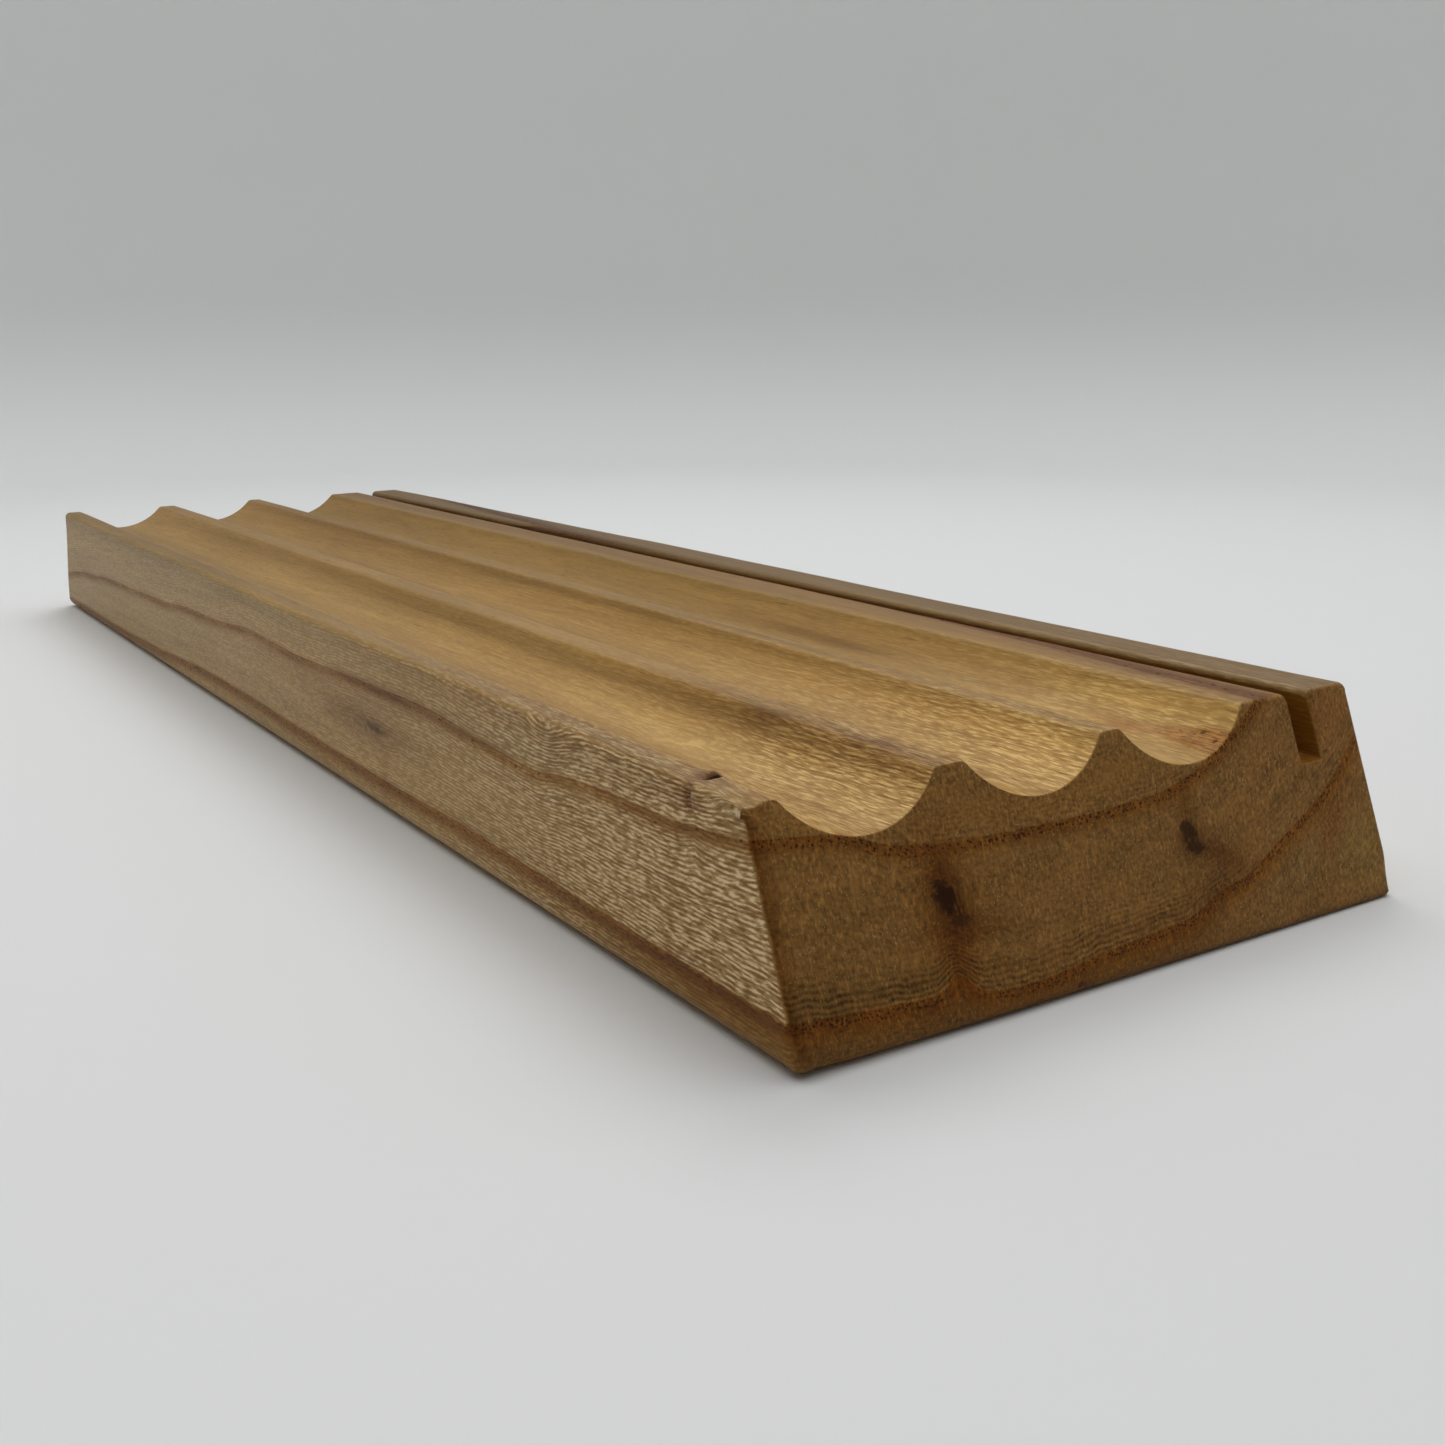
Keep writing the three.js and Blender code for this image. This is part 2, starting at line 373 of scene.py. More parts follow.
# painted streaks and stains of the top, with painted sheen and painted shade among them
times(in_top * np.exp(-(((y - 17.4) / 1.15) ** 2)) * ramp(x, [0, 60, 110, 150, 215, 231, 240, 258], [0.2, 0.4, 0.8, 1, 1, 1, 1, 0.8]), 0.66, 0.63, 0.52)
times(in_top * spot(x, y, 243.0, 18.9, 10.0, 1.1), 0.58, 0.47, 0.34)
times(in_top * spot(x, y, 224.0, 17.8, 14.0, 2.2, 0.02), 0.80, 0.74, 0.62)
times(in_top * spot(x, y, 227.8, 18.1, 3.8, 0.8, 0.02), 0.56, 0.46, 0.36)
times(in_top * spot(x, y, 227.3, 21.0, 2.8, 0.6, 0.0), 0.62, 0.57, 0.52)
times(in_top * spot(x, y, 224.0, 19.2, 11.0, 1.0, 0.0), 0.86, 0.84, 0.80)
# cove 1's flank near the near end lightened: painted sheen
times(in_top * spot(x, y, 223.5, 12.6, 8.0, 1.5, 0.0), 1.12, 1.14, 1.18)
times(in_top * np.exp(-(((y - 36.2) / 0.55) ** 2)) * ramp(x, [0, 60, 140, 200, 258], [0.15, 0.5, 1, 0.9, 0.4]), 0.72, 0.69, 0.60)
times(in_top * spot(x, y, 195.0, 37.9, 22.0, 0.7), 0.80, 0.77, 0.70)
times(in_top * spot(x, y, 225.0, 29.4, 15.0, 0.9), 0.80, 0.78, 0.78)
times(in_top * spot(x, y, 60.0, 38.0, 40.0, 4.0), 0.88, 0.85, 0.80)
times(in_top * spot(x, y, 189.0, 51.5, 15.0, 0.85, -0.012), 0.66, 0.56, 0.34)
times(in_top * spot(x, y, 181.0, 51.2, 28.0, 1.6), 0.90, 0.86, 0.74)
times(in_top * spot(x, y, 241.0, 50.4, 4.2, 0.9, 0.0), 0.72, 0.54, 0.36)
times(in_top * spot(x, y, 236.5, 57.6, 2.4, 0.8, 0.3), 0.70, 0.62, 0.50)
times(in_top * spot(x, y, 150.0, 47.5, 60.0, 2.0), 0.94, 0.94, 0.90)
times(in_top * smooth(55.6, 56.6, y) * (1 - smooth(61.0, 61.4, y)), 0.84, 0.78, 0.76)
times(in_top * smooth(63.5, 64.2, y), 0.66, 0.70, 0.98)
# the kerf's walls, floor and the lips into it darkened: painted shade in the slot
times((1 - in_top) * (1 - END) * (y > 60.5) * (y < 64.5) * (z > 12.0), 0.42, 0.27, 0.08)
times(in_top * smooth(60.9, 61.2, y) * (1 - smooth(63.9, 64.2, y)), 0.62, 0.52, 0.42)
# painted sheen: the top is lighter towards the near end and darker towards the far end
sheen_along = ramp(x, [0, 30, 70, 110, 150, 190, 215, 258], [0.80, 0.80, 0.81, 0.88, 0.93, 1.03, 1.10, 1.12])
tone = tone * (1 + (sheen_along - 1) * in_top)[:, None]
times(in_top * smooth(24.0, 27.0, y), 0.94, 0.93, 0.90)
times(in_top * smooth(42.0, 45.0, y), 0.94, 0.93, 0.90)
# painted light and shade by slope: the up-facing cove floors and lands are darkened and the flanks that face the front
# are lightened
tilt = np.degrees(np.arccos(np.clip(NV[:, 2], -1, 1)))
for k, vals in enumerate(((0.77, 0.96, 1.0, 1.13), (0.74, 0.96, 0.98, 1.12), (0.67, 0.87, 0.86, 1.0))):
    tone[:, k] *= 1 + (ramp(tilt, [3, 18, 35, 48], vals) - 1) * in_top
times(in_top * smooth(20.3, 21.0, y) * (1 - smooth(36.5, 37.5, y)), 0.97, 0.95, 0.92)
times(in_top * smooth(39.0, 40.0, y) * (1 - smooth(54.5, 55.5, y)), 0.91, 0.91, 0.90)
times(in_top * np.exp(-(((y - 46.9) / 1.6) ** 2)), 1.06, 1.06, 1.05)
# the near ends of coves 2 and 3 lightened: painted sheen
times(in_top * smooth(226.0, 246.0, x) * smooth(22.0, 26.0, y) * (1 - smooth(36.0, 38.0, y)), 1.17, 1.20, 1.22)
times(in_top * smooth(222.0, 244.0, x) * smooth(39.0, 42.0, y) * (1 - smooth(53.0, 55.0, y)), 1.34, 1.42, 1.45)
times(in_top * (smooth(17.9, 18.4, z) * (y > 36.0)), 0.94, 0.94, 0.92)
# growth line 1 where it comes up through cove 3's flank and the back land
times(in_top * np.exp(-(((d1 + 0.7) / 0.8) ** 2)), 0.70, 0.58, 0.40)

# front side
times(FRONT * (1 - smooth(20.0, 215.0, x)), 0.94, 0.98, 1.12)
times(FRONT * smooth(13.0, 16.5, z), 0.95, 0.95, 0.93)
times(FRONT * spot(x, z, 172.0, 9.2, 15.0, 2.0, 0.01), 0.62, 0.54, 0.44)
times(FRONT * spot(x, z, 175.4, 9.3, 3.6, 0.8), 0.52, 0.48, 0.48)
times(FRONT * spot(x, d1, 181.0, -0.4, 17.0, 0.9), 0.64, 0.55, 0.42)
times(FRONT * spot(x, z, 177.6, 3.4, 0.9, 3.2, 0.0), 0.80, 0.72, 0.60)
times(FRONT * spot(x, z, 150.0, 11.2, 25.0, 1.6), 0.88, 0.84, 0.76)
times(FRONT * spot(x, z, 221.0, 17.2, 2.6, 1.7, 0.2), 0.80, 0.72, 0.62)
times(FRONT * spot(x, z, 218.2, 17.4, 1.8, 1.2, 0.4), 1.12, 1.12, 1.14)
times(FRONT * spot(x, z, 216.0, 15.8, 8.0, 1.3), 1.04, 1.09, 1.18)
times(FRONT * smooth(0.1, -0.5, d2) * smooth(205.0, 250.0, x), 0.60, 0.46, 0.24)
times(FRONT * smooth(-1.9, -0.9, d2) * (1 - smooth(-0.1, 0.3, d2)), 0.70, 0.60, 0.48)
times(FRONT * smooth(-1.1, -0.5, d1) * (1 - smooth(-0.1, 0.2, d1)), 0.74, 0.66, 0.52)
edge0 = (1 - smooth(2.2, 3.6, y)) * smooth(16.0, 17.4, z) * (1 - END)
tone = lay(tone, 0.5 * (LONG + FACE), edge0 * smooth(140, 205, x) * 0.9)
times(edge0 * (1 - 0.45 * SIDE), 0.76, 0.78, 0.82)
times(edge0 * smooth(150, 205, x) * (1 - smooth(244.5, 246.5, x)), 0.92, 0.88, 0.84)
times(edge0 * smooth(1.6, 2.6, y) * smooth(190, 215, x), 0.92, 0.84, 0.82)
times(edge0 * spot(x, y, 243.2, 2.3, 1.9, 0.8, 0.96), 0.74, 0.60, 0.56)
times(edge0 * smooth(246.0, 249.0, x) * smooth(0.6, 1.6, y), 1.0, 0.92, 0.74)
crease = (y < 3.0) * smooth(0.2, 0.6, SIDE) * np.exp(-(((x - 243.4 + 0.25 * (z - 16.9)) / 0.42) ** 2)) * smooth(16.3, 17.0, z)
times(crease * (1 - END), 0.50, 0.40, 0.34)
times(FRONT * spot(x, z, 242.4, 18.0, 1.6, 0.9), 0.80, 0.72, 0.66)

# end face
near_end = END * smooth(200.0, 220.0, x)
times(near_end * np.exp(-((np.maximum(y, 0) / 1.1) ** 2)), 0.62, 0.47, 0.27)
times(near_end * spot(y, z, 16.9, 9.3, 1.9, 2.7), 0.50, 0.38, 0.20)
times(near_end * spot(y, z, 16.8, 8.4, 3.6, 5.0), 0.82, 0.68, 0.44)
times(near_end * spot(y, z, 16.3, 11.2, 1.3, 1.8), 0.76, 0.60, 0.36)
times(near_end * spot(y, z, 48.2, 6.9, 2.6, 1.0, -0.45), 0.78, 0.66, 0.50)
times(near_end * spot(y, z, 16.7, 5.2, 1.3, 2.6), 0.84, 0.78, 0.62)
times(near_end * smooth(0.0, 0.3, d2) * (1 - smooth(0.8, 3.0, d2)) * (1 - smooth(10.0, 24.0, y)), 0.66, 0.66, 0.62)
times(near_end * smooth(0.0, 0.3, d2) * (1 - smooth(0.8, 3.0, d2)) * smooth(16.0, 24.0, y) * (1 - smooth(40.0, 52.0, y)), 0.84, 0.80, 0.74)
times(near_end * (1 - smooth(-0.6, 0.1, d2)) * (1 - smooth(40.0, 50.0, y)), 0.78, 0.72, 0.62)
times(near_end * spot(y, z, 18.8, 6.7, 4.0, 0.8, -0.10), 0.66, 0.54, 0.40)
times(near_end * spot(y, z, 16.7, 4.6, 1.6, 2.8), 0.90, 0.74, 0.45)
times(near_end * spot(y, z, 44.5, 9.2, 1.4, 2.3, -0.25), 0.48, 0.42, 0.32)
times(near_end * spot(y, z, 46.2, 7.8, 3.0, 1.1, -0.35), 0.64, 0.54, 0.44)
times(near_end * spot(y, z, 44.6, 12.0, 1.2, 1.8), 0.80, 0.70, 0.52)
times(near_end * spot(y, z, 66.6, 4.2, 3.0, 3.2, -0.5), 1.06, 1.22, 1.25)
times(near_end * spot(y, z, 57.5, 4.6, 5.0, 1.5, 0.55), 0.96, 1.04, 1.20)
times(near_end * spot(y, z, 47.0, 4.6, 5.0, 1.8, 0.35), 0.76, 0.68, 0.58)
times(near_end * spot(y, z, 63.5, 7.2, 2.6, 1.2, 0.6), 0.92, 0.72, 0.52)
times(near_end * spot(y, z, 55.0, 12.5, 4.5, 2.2, 0.6), 1.10, 1.08, 1.06)
times(near_end * spot(y, z, 9.0, 3.0, 7.0, 0.9), 0.88, 0.82, 0.72)
times(near_end * spot(y, z, 30.0, 15.0, 12.0, 1.4), 1.05, 1.02, 0.94)
times(near_end * spot(y, z, 66.0, 16.5, 4.0, 2.5), 1.12, 0.98, 0.90)

# painted shade on the downward-facing rounding of the bottom edges
times((1 - smooth(0.05, 0.9, z - UNDER)) * smooth(-0.97, -0.6, NV[:, 2]), 0.55, 0.48, 0.42)
hush = np.maximum(near_end * spot(y, z, 16.6, 3.6, 1.9, 2.0), near_end * spot(y, z, 16.8, 9.0, 2.6, 3.2))

# strength of the pale flecks; on the top it rises towards the near end, where the flecks are wood figure and also
# painted glints of the sheen
fleck = np.full(len(P0), 0.30)
fleck = np.where(FRONT > 0.01, ramp(x, [0, 120, 185, 205, 222, 236, 258], [0.22, 0.26, 0.34, 0.55, 0.85, 1.0, 1.05]), fleck)
top_fleck_glint = ramp(x, [0, 150, 205, 222, 232, 245, 258], [0.18, 0.20, 0.30, 0.55, 0.85, 1.0, 1.0])
fleck = np.where(in_top > 0.5, top_fleck_glint, fleck)
fleck = np.where(in_top * (y < 4) > 0.5, ramp(x, [0, 170, 205, 225, 243, 247, 258], [0.2, 0.3, 0.7, 1.2, 1.2, 0.9, 0.9]), fleck)
fleck = fleck * (1 + 0.5 * in_top * smooth(14.0, 16.5, y) * (1 - smooth(20.0, 23.0, y)) * smooth(226.0, 232.0, x))
fleck = np.where((in_top > 0.5) & (y > 40), fleck * 0.62, fleck)
fleck *= 1 - END
# fewer flecks in the pale patch of painted sheen, and no flecks in the earlywood bands
fleck *= 1 - 0.75 * spot(x, y, 223.0, 12.6, 7.0, 2.4) * (in_top > 0.5)
band1 = smooth(-1.3, -0.7, d1) * (1 - smooth(-0.15, 0.25, d1))
band2 = smooth(-1.6, -1.0, d2) * (1 - smooth(-0.15, 0.25, d2))
fleck *= 1 - 0.7 * np.maximum(band1, band2) * (FRONT + END)
fleck *= 1 - 0.6 * FRONT * smooth(0.1, -0.6, d2) * smooth(215.0, 250.0, x)


def put_vector(name, a, b, c):
    at = mesh.attributes.new(name, "FLOAT_VECTOR", "POINT")
    at.data.foreach_set("vector", np.column_stack([a, b, c]).astype(np.float32).ravel())


def put_figure():
    put_vector("figure", d1, d2, ring)
    put_vector("cut", END, FRONT, fleck)
    put_vector("place", x, y, z)
    # the third mark places the pale patch of painted sheen on cove 1's flank
    put_vector("marks", hush, in_top, in_top * spot(x, y, 222.5, 13.0, 9.0, 2.6, 0.0))
    at = mesh.attributes.new("tone", "FLOAT_VECTOR", "POINT")
    at.data.foreach_set("vector", tone.astype(np.float32).ravel())


def put_bake_uv():
    """One flat layout in 0..1: the sides unrolled along the block, and the two ends side by side."""
    grid = P0[: R * J].reshape(R, J, 3)
    step = np.linalg.norm(np.diff(grid, axis=0), axis=2)
    first = STEPS
    along = np.zeros((R, J))
    along[first:] = grid[first, :, 0] + np.concatenate([np.zeros((1, J)), np.cumsum(step[first:], axis=0)])
    along[:first] = grid[first, :, 0] - np.cumsum(step[:first][::-1], axis=0)[::-1]
    seg = np.hypot(*(np.roll(PY, -1, axis=0) - PY).T)
    # strip: offset and height in pixels of 1024
    place = {2: (4, 520), 3: (530, 108), 1: (644, 108), 0: (758, 144)}
    runs = {}
    start = 0
    of_quad = STRIP.copy()  # a quad from profile point j to j + 1 belongs to j + 1's strip
    of_quad = np.roll(STRIP, -1)
    cum = np.zeros(J + 1)
    for s in (0, 1, 2, 3):
        js = np.where(of_quad == s)[0]
        js = js if s else np.r_[js[js > J // 2], js[js <= J // 2]]
        length = seg[js].sum()
        at = 0.0
        for k in js:
            runs[k] = (s, at / length, (at + seg[k]) / length)
            at += seg[k]
    uv = np.zeros((len(mesh.loops), 2))
    loops = np.array([p.loop_start for p in mesh.polygons])
    lo_x, hi_x = along.min() - 0.5, along.max() + 0.5
    nq = len(quads)
    vert = np.zeros(len(mesh.loops), dtype=np.int64)
    mesh.loops.foreach_get("vertex_index", vert)
    u_of = 0.004 + 0.992 * (along.ravel() - lo_x) / (hi_x - lo_x)
    for f in range(nq):
        s, v0, v1 = runs[int(quad_ij[f, 1])]
        off, high = place[s]
        j_lo = int(quad_ij[f, 1])
        for k in range(4):
            loop = loops[f] + k
            v = vert[loop]
            t = v0 if (v % J) == j_lo else v1
            uv[loop] = (u_of[v], (off + high * t) / 1024.0)
    for f, side in zip(range(nq, nq + len(faces_tri)), tri_end):
        for k in range(3):
            loop = loops[f] + k
            px, py, pz = P0[vert[loop]]
            uv[loop] = ((10 + side * 505 + 6.95 * py) / 1024.0, (908 + 5.45 * (pz - UNDER)) / 1024.0)
    layer = mesh.uv_layers.new(name="OFBake")
    layer.data.foreach_set("uv", uv.astype(np.float32).ravel())


# ---- hand-sanded unevenness and small worn features ------------------------
x, y, z = V.T
up = NV[:, 2]
flat_under = 1 - smooth(0.15, 0.9, -up)
amp = 0.035 + 0.035 * smooth(0.5, 1.0, up) * smooth(18.0, 18.9, z)
push = wobble(V, 3, (22, 9, 9)) * amp + wobble(V, 5, (6, 4, 4)) * 0.012
push = push * flat_under
# the bark pocket in the front top edge, and the crease that runs down from it
pit = spot(x, y, 243.4, 2.3, 0.80, 0.34, 0.96) * smooth(17.6, 18.6, z)
push -= 0.75 * pit
push -= 0.20 * (y < 3.0) * smooth(0.2, 0.6, -NV[:, 1]) * np.exp(-(((x - 243.4 + 0.25 * (z - 16.9)) / 0.30) ** 2)) * smooth(16.2, 17.0, z)
push -= 0.10 * np.exp(-(((x - 242.6) / 1.2) ** 2)) * smooth(16.8, 18.6, z) * (1 - smooth(0.8, 2.0, y))
# the curl near x = 220 on the same edge
push += 0.07 * np.exp(-(((x - 222.0) / 1.6) ** 2)) * smooth(17.0, 18.6, z) * (1 - smooth(0.8, 2.2, y))
push -= 0.08 * np.exp(-(((x - 218.6) / 1.1) ** 2)) * smooth(17.0, 18.6, z) * (1 - smooth(0.8, 2.2, y))
V = V + NV * push[:, None]
# the same edge is sharper beside the near end, with a shallow dip behind it
sharper = 0.62 * smooth(245.0, 248.8, x) * (y < 0.95) * (z > 18.05)
V[:, 1] -= sharper * (1 + NV[:, 1])
V[:, 2] += sharper * (1 - NV[:, 2]) * (NV[:, 0] < 0.5)
V[:, 2] -= 0.34 * np.exp(-(((y - 1.05) / 0.52) ** 2)) * smooth(246.3, 249.3, x) * smooth(17.0, 18.4, z)
# the wood swells round the bark pocket
V[:, 2] += 0.42 * np.exp(-(((x - 243.2) / 1.7) ** 2) - ((y - 2.8) / 0.85) ** 2) * smooth(15.0, 16.5, z)
V[:, 2] = np.maximum(V[:, 2], UNDER)
# the four upright edges, rounded more towards the underside
x, y, z = V.T
turn_r = 0.45 + 1.15 * (1 - smooth(0.5, 5.5, z - UNDER))
for x_end, sx in ((L - LEAN * z / T, 1), (LEAN * z / T, -1)):
    for y_side, sy in ((0.0, -1), (W, 1)):
        cx, cy = x_end - sx * turn_r, y_side - sy * turn_r
        dx, dy = (V[:, 0] - cx) * sx, (V[:, 1] - cy) * sy
        far_out = np.hypot(dx, dy)
        k = np.where((dx > 0) & (dy > 0) & (far_out > turn_r) & (z < 17.0), turn_r / np.maximum(far_out, 1e-6), 1.0)
        V[:, 0] = np.where(k < 1, cx + sx * dx * k, V[:, 0])
        V[:, 1] = np.where(k < 1, cy + sy * dy * k, V[:, 1])

mesh = bpy.data.meshes.new("grooved_block_wood")
M = V - np.array([L / 2, W / 2, UNDER])
faces = [tuple(int(k) for k in q) for q in quads] + [tuple(int(k) for k in t) for t in faces_tri]
mesh.from_pydata((M / 1000.0).tolist(), [], faces)
mesh.validate()
mesh.update()
mesh.shade_smooth()
block = bpy.data.objects.new("grooved_block_wood", mesh)
bpy.context.scene.collection.objects.link(block)

# ---------------------------------------------------------------------------
# Material: oiled ring-porous wood, one solid texture for every cut of the block
# ---------------------------------------------------------------------------
class Nodes:
    """Small helpers for building a node tree; every argument is a number or a socket."""

    def __init__(self, tree):
        self.tree = tree

    def add(self, kind, **props):
        n = self.tree.nodes.new(kind)
        for k, v in props.items():
            setattr(n, k, v)
        return n

    def feed(self, socket, value):
        if isinstance(value, bpy.types.NodeSocket):
            self.tree.links.new(value, socket)
        elif value is not None:
            socket.default_value = value

    def math(self, op, a, b=None, c=None, clamp=False):
        n = self.add("ShaderNodeMath", operation=op, use_clamp=clamp)
        for s, v in zip(n.inputs, (a, b, c)):
            self.feed(s, v)
        return n.outputs[0]

    def plus(self, *vals):
        out = vals[0]
        for v in vals[1:]:
            out = self.math("ADD", out, v)
        return out

    def mul(self, *vals):
        out = vals[0]
        for v in vals[1:]:
            out = self.math("MULTIPLY", out, v)
        return out

    def ramp(self, v, a, b, lo=0.0, hi=1.0):
        n = self.add("ShaderNodeMapRange", interpolation_type="SMOOTHSTEP")
        self.feed(n.inputs["Value"], v)
        for name, val in (("From Min", a), ("From Max", b), ("To Min", lo), ("To Max", hi)):
            self.feed(n.inputs[name], val)
        return n.outputs["Result"]

    def vec(self, a, b, c):
        n = self.add("ShaderNodeCombineXYZ")
        for s, v in zip(n.inputs, (a, b, c)):
            self.feed(s, v)
        return n.outputs[0]

    def parts(self, v):
        n = self.add("ShaderNodeSeparateXYZ")
        self.feed(n.inputs[0], v)
        return n.outputs[0], n.outputs[1], n.outputs[2]

    def vmul(self, v, k):
        n = self.add("ShaderNodeVectorMath", operation="MULTIPLY")
        self.feed(n.inputs[0], v)
        self.feed(n.inputs[1], k)
        return n.outputs[0]

    def noise(self, v, detail=1.0, rough=0.5, twist=0.0):
        """Noise about -1..1."""
        n = self.add("ShaderNodeTexNoise")
        self.feed(n.inputs["Vector"], v)
        n.inputs["Scale"].default_value = 1.0
        n.inputs["Detail"].default_value = detail
        n.inputs["Roughness"].default_value = rough
        n.inputs["Distortion"].default_value = twist
        return self.math("MULTIPLY_ADD", n.outputs["Fac"], 3.2, -1.6)

    def cells(self, v, spread=1.0):
        n = self.add("ShaderNodeTexVoronoi", feature="F1")
        self.feed(n.inputs["Vector"], v)
        n.inputs["Scale"].default_value = 1.0
        n.inputs["Randomness"].default_value = spread
        return n.outputs["Distance"], n.outputs["Color"]

    def attr(self, name):
        n = self.add("ShaderNodeAttribute", attribute_type="GEOMETRY", attribute_name=name)
        return n.outputs["Vector"]

    def blend(self, w, a, b):
        n = self.add("ShaderNodeMix", data_type="RGBA", blend_type="MIX")
        self.feed(n.inputs[0], w)
        self.feed(n.inputs[6], a)
        self.feed(n.inputs[7], b)
        return n.outputs[2]

    def scale_colour(self, c, k):
        n = self.add("ShaderNodeVectorMath", operation="SCALE")
        self.feed(n.inputs[0], c)
        self.feed(n.inputs[3], k)
        return n.outputs[0]


def wood_material():
    mat = bpy.data.materials.new("oiled_wood")
    mat.use_nodes = True
    g = Nodes(mat.node_tree)
    bsdf = mat.node_tree.nodes["Principled BSDF"]

    px, py, pz = g.parts(g.attr("place"))  # mm
    d1, d2, ring = g.parts(g.attr("figure"))
    end, front, fleck_w = g.parts(g.attr("cut"))
    hush, top, sheen_patch_w = g.parts(g.attr("marks"))
    open_ = g.math("SUBTRACT", 1.0, hush)
    tone = g.attr("tone")

    # fine waviness of the layers
    sway = g.noise(g.vec(g.mul(px, 1 / 9.0), g.mul(py, 1 / 3.2), g.mul(ring, 1 / 2.5)), 1)
    sway2 = g.noise(g.vec(g.mul(px, 1 / 3.0), g.mul(py, 1 / 1.1), g.mul(ring, 1 / 1.4)), 0)
    rr = g.plus(ring, g.mul(sway, 0.22), g.mul(sway2, 0.05))
    yy = g.plus(py, g.mul(g.noise(g.vec(g.mul(px, 1 / 16.0), g.mul(py, 1 / 5.0), g.mul(ring, 1 / 4.0)), 1), 0.5))

    # streaks and fibres along the grain
    broad = g.noise(g.vec(g.mul(px, 1 / 55.0), g.mul(yy, 1 / 2.6), g.mul(rr, 1 / 1.9)), 3, 0.55)
    mid = g.noise(g.vec(g.mul(px, 1 / 14.0), g.mul(yy, 1 / 0.6), g.mul(rr, 1 / 0.55)), 2, 0.55)
    fine = g.noise(g.vec(g.mul(px, 1 / 4.5), g.mul(yy, 1 / 0.17), g.mul(rr, 1 / 0.17)), 1, 0.5)
    long_grain = g.plus(1.0, g.mul(broad, 0.17), g.mul(mid, 0.12), g.mul(fine, 0.10))

    # end grain: rays run up through the rings, layers show as faint waves
    rays = g.noise(g.vec(g.mul(px, 1 / 3.0), g.mul(py, 1 / 0.24), g.mul(rr, 1 / 0.62)), 1, 0.5)
    mott = g.noise(g.vec(g.mul(px, 1 / 3.0), g.mul(py, 1 / 0.46), g.mul(rr, 1 / 0.30)), 1, 0.6)
    cloud = g.noise(g.vec(g.mul(px, 1 / 20.0), g.mul(py, 1 / 5.5), g.mul(rr, 1 / 1.6)), 2, 0.5)
    wave = g.math("SINE", g.plus(g.mul(rr, 2 * math.pi / 0.43), g.mul(g.noise(g.vec(g.mul(px, 0.2), g.mul(py, 1 / 1.3), g.mul(ring, 0.5)), 1), 1.3)))
    patchy = g.ramp(g.noise(g.vec(g.mul(px, 0.1), g.mul(py, 1 / 3.5), g.mul(ring, 1 / 2.2)), 1), -0.5, 0.7, 0.25, 1.0)
    over2 = g.mul(g.ramp(d2, -0.15, 0.25), g.ramp(d2, 3.4, 0.7))
    over1 = g.mul(g.ramp(d1, -0.1, 0.25), g.ramp(d1, 3.2, 0.5))
    wave_w = g.plus(g.mul(over2, g.ramp(py, 52.0, 28.0, 0.10, 0.36), g.plus(0.35, g.mul(patchy, 0.65))), g.mul(over1, patchy, 0.10), g.mul(patchy, 0.05))
    ray_pale = g.ramp(rays, 0.15, 0.85)
    end_grain = g.plus(0.95, g.mul(cloud, 0.20), g.mul(rays, 0.24), g.mul(ray_pale, 0.34), g.mul(mott, 0.40), g.mul(wave, wave_w))

    value = g.plus(g.mul(long_grain, g.math("SUBTRACT", 1.0, end)), g.mul(end_grain, end))
    col = g.scale_colour(tone, value)

    # pale flecks: short dashes in rows that follow the layers; on the top near the near end they are also painted
    # glints of the sheen
    row = g.math("SINE", g.plus(g.mul(rr, 2 * math.pi / 0.38), g.mul(g.noise(g.vec(g.mul(px, 1 / 5.0), g.mul(py, 1 / 1.5), g.mul(ring, 0.6)), 1), 1.4)))
    def dashes(long_, across, seat_long, seat_across, row_w, mid_w):
        """Short marks along the fibres, long_ and across in mm."""
        n = g.noise(g.vec(g.mul(px, 1 / long_), g.mul(yy, 1 / across), g.mul(rr, 1 / (0.88 * across))), 2, 0.6, 0.2)
        seat, _ = g.cells(g.vec(g.mul(px, 1 / seat_long), g.mul(yy, 1 / seat_across), g.mul(rr, 1 / (1.1 * seat_across))), 0.9)
        return g.plus(g.mul(n, 0.78), g.mul(g.math("SUBTRACT", 0.52, seat), 1.3), g.mul(row, row_w), g.mul(mid, mid_w))

    dash_f = dashes(0.95, 0.19, 1.6, 0.29, 0.36, 0.12)
    dash_t = dashes(1.35, 0.18, 2.1, 0.27, 0.12, 0.30)
    dash = g.plus(g.mul(dash_f, front), g.mul(dash_t, g.math("SUBTRACT", 1.0, front)))
    pale = g.mul(g.ramp(dash, 0.0, 0.60), fleck_w)
    dark = g.mul(g.ramp(dash, 0.0, -0.60), fleck_w, g.plus(1.0, g.mul(top, -0.35)))
    pale_front = g.vmul(tone, (2.05, 2.48, 4.0))
    pale_top_fleck_glint = g.vmul(tone, (1.62, 1.84, 2.45))
    pale_col = g.blend(front, pale_top_fleck_glint, pale_front)
    col = g.blend(g.math("MULTIPLY", pale, 0.85, clamp=True), col, pale_col)
    col = g.blend(g.math("MULTIPLY", dark, 0.85, clamp=True), col, g.vmul(tone, (0.53, 0.35, 0.20)))
    # smooth pale patches: painted sheen on cove 1's flank near the near end
    patch = g.noise(g.vec(g.mul(px, 1 / 3.2), g.mul(yy, 1 / 1.1), 4.0), 2, 0.6, 0.6)
    patch = g.mul(g.ramp(patch, 0.12, 0.40), sheen_patch_w)
    col = g.blend(g.math("MULTIPLY", patch, 0.9, clamp=True), col, g.vmul(tone, (1.28, 1.36, 1.50)))
